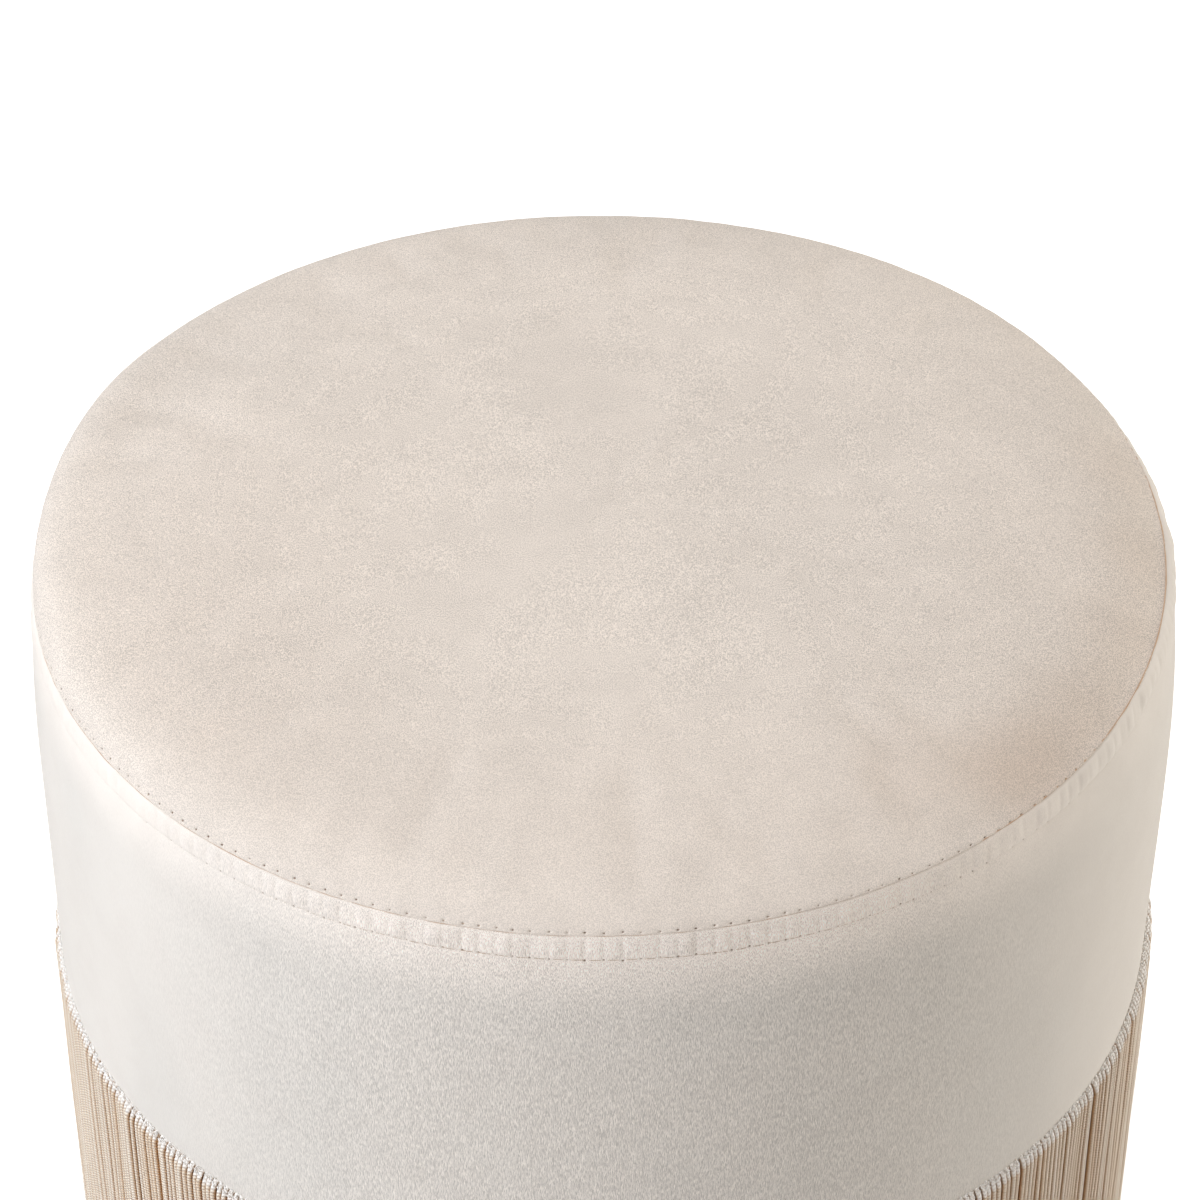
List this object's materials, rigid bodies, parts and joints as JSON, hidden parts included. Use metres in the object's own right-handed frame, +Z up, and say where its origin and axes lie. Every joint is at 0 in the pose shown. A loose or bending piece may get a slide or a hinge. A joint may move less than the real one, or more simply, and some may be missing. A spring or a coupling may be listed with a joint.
{
  "type": "round pouf",
  "caption": "Round velvet drum pouf with a sewn, gently crowned seat and a long skirt of corded fringe over a boarded wooden drum on low glides.",
  "frame": {"origin": "on the floor, at the middle of the drum", "axes": "+Z up along the drum's axis, -Y towards the viewer, +Y to the back where the wall panel is joined"},
  "size_m": [0.3752, 0.3752, 0.41],
  "materials": {
    "velvet": "short velvet pile",
    "fringe_cord": "satin knitted cord",
    "fringe_tape": "woven tape",
    "lining_cloth": "plain weave",
    "dust_cloth": "non-woven",
    "foam": "open-cell foam",
    "wadding": "loose fibre",
    "felt": "pressed felt",
    "fibreboard": "raw fibreboard",
    "hardboard": "smooth hardboard",
    "softwood": "planed",
    "foot_plastic": "fine moulded",
    "zinc_steel": "zinc plated"
  },
  "bodies": {
    "root": {"top_panel": "velvet", "side_band": "velvet", "fringe_cords": "fringe_cord", "fringe_header": "fringe_tape", "lower_lining": "lining_cloth", "dust_cover": "dust_cloth", "seat_foam": "foam", "wall_foam": "foam", "seat_wadding": "wadding", "lower_wrap": "felt", "base_board": "fibreboard", "top_board": "fibreboard", "wall_panel": "hardboard", "post_1": "softwood", "post_2": "softwood", "post_3": "softwood", "post_4": "softwood", "post_5": "softwood", "post_6": "softwood", "foot_1": "foot_plastic", "foot_2": "foot_plastic", "foot_3": "foot_plastic", "foot_4": "foot_plastic", "post_screws": "zinc_steel", "foot_screws": "zinc_steel", "base_staples": "zinc_steel", "wall_staples": "zinc_steel"}
  },
  "joints": []
}
